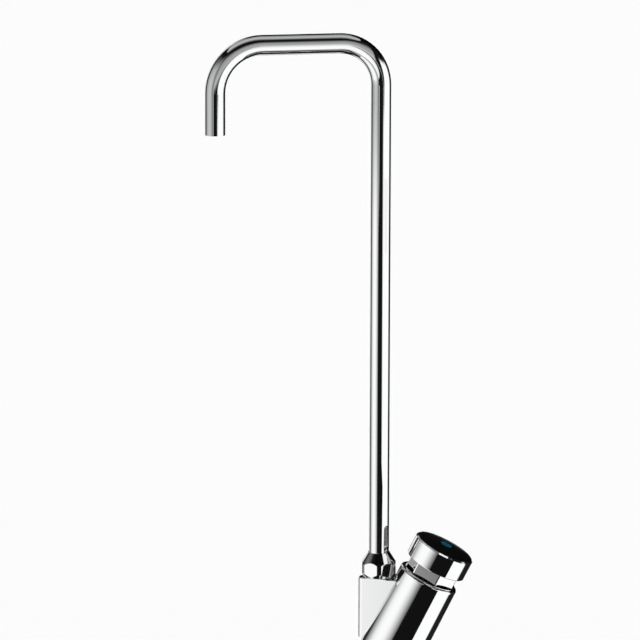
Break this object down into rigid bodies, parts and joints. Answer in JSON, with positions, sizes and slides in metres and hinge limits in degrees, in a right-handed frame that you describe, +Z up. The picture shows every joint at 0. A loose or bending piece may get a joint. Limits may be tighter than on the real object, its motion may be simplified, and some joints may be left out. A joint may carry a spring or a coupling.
{
  "type": "drinking water faucet",
  "caption": "Deck-mounted chrome tap with a slanted push-button barrel and a slender swivelling swan-neck spout.",
  "frame": {"origin": "on the axis of the threaded shank, on the deck that the tap stands on", "axes": "+Z up along the shank and the riser of the spout, +X the side the button leans to, the user in front at -Y"},
  "size_m": [0.1547, 0.0673, 0.465],
  "materials": {
    "chrome": "polished",
    "brass": "machined",
    "rubber": "matt",
    "black_plastic": "glossy",
    "white_plastic": "satin",
    "blue_plastic": "glossy",
    "steel": "bright"
  },
  "bodies": {
    "tap": {"body": "chrome", "outlet_nipple": "brass", "spout_o_ring": "rubber", "spout_nut": "chrome", "slip_washer": "white_plastic", "friction_ring": "white_plastic", "cartridge_head": "chrome", "head_gasket": "rubber", "stem_bush": "white_plastic", "stem_o_ring": "rubber", "cartridge_sleeve": "brass", "valve_seat": "brass", "seat_o_ring": "rubber", "return_spring": "steel", "inlet_filter": "steel", "filter_washer": "rubber", "deck_gasket": "rubber", "clamp_washer": "steel", "backnut": "brass"},
    "spout": {"spout_tube": "chrome", "spout_collar": "brass"},
    "button": {"stem": "steel", "piston": "brass", "piston_lip_seal": "rubber", "valve_washer": "rubber", "washer_holder": "brass", "washer_nut": "brass", "push_button": "chrome", "button_screw": "steel", "button_disc": "black_plastic", "marker_dot": "blue_plastic"}
  },
  "joints": [
    {"name": "spout_swivel", "type": "hinge", "parent": "tap", "child": "spout", "pos_m": [0, 0, 0.0983], "axis": [0, 0, 1], "continuous": true},
    {"name": "button_press", "type": "slide", "parent": "tap", "child": "button", "axis": [-0.454, 0, -0.891], "range_m": [0, 0.005], "stiffness_N_per_m": 2000, "springref_m": -0.0075, "deforming": ["return_spring"]}
  ]
}
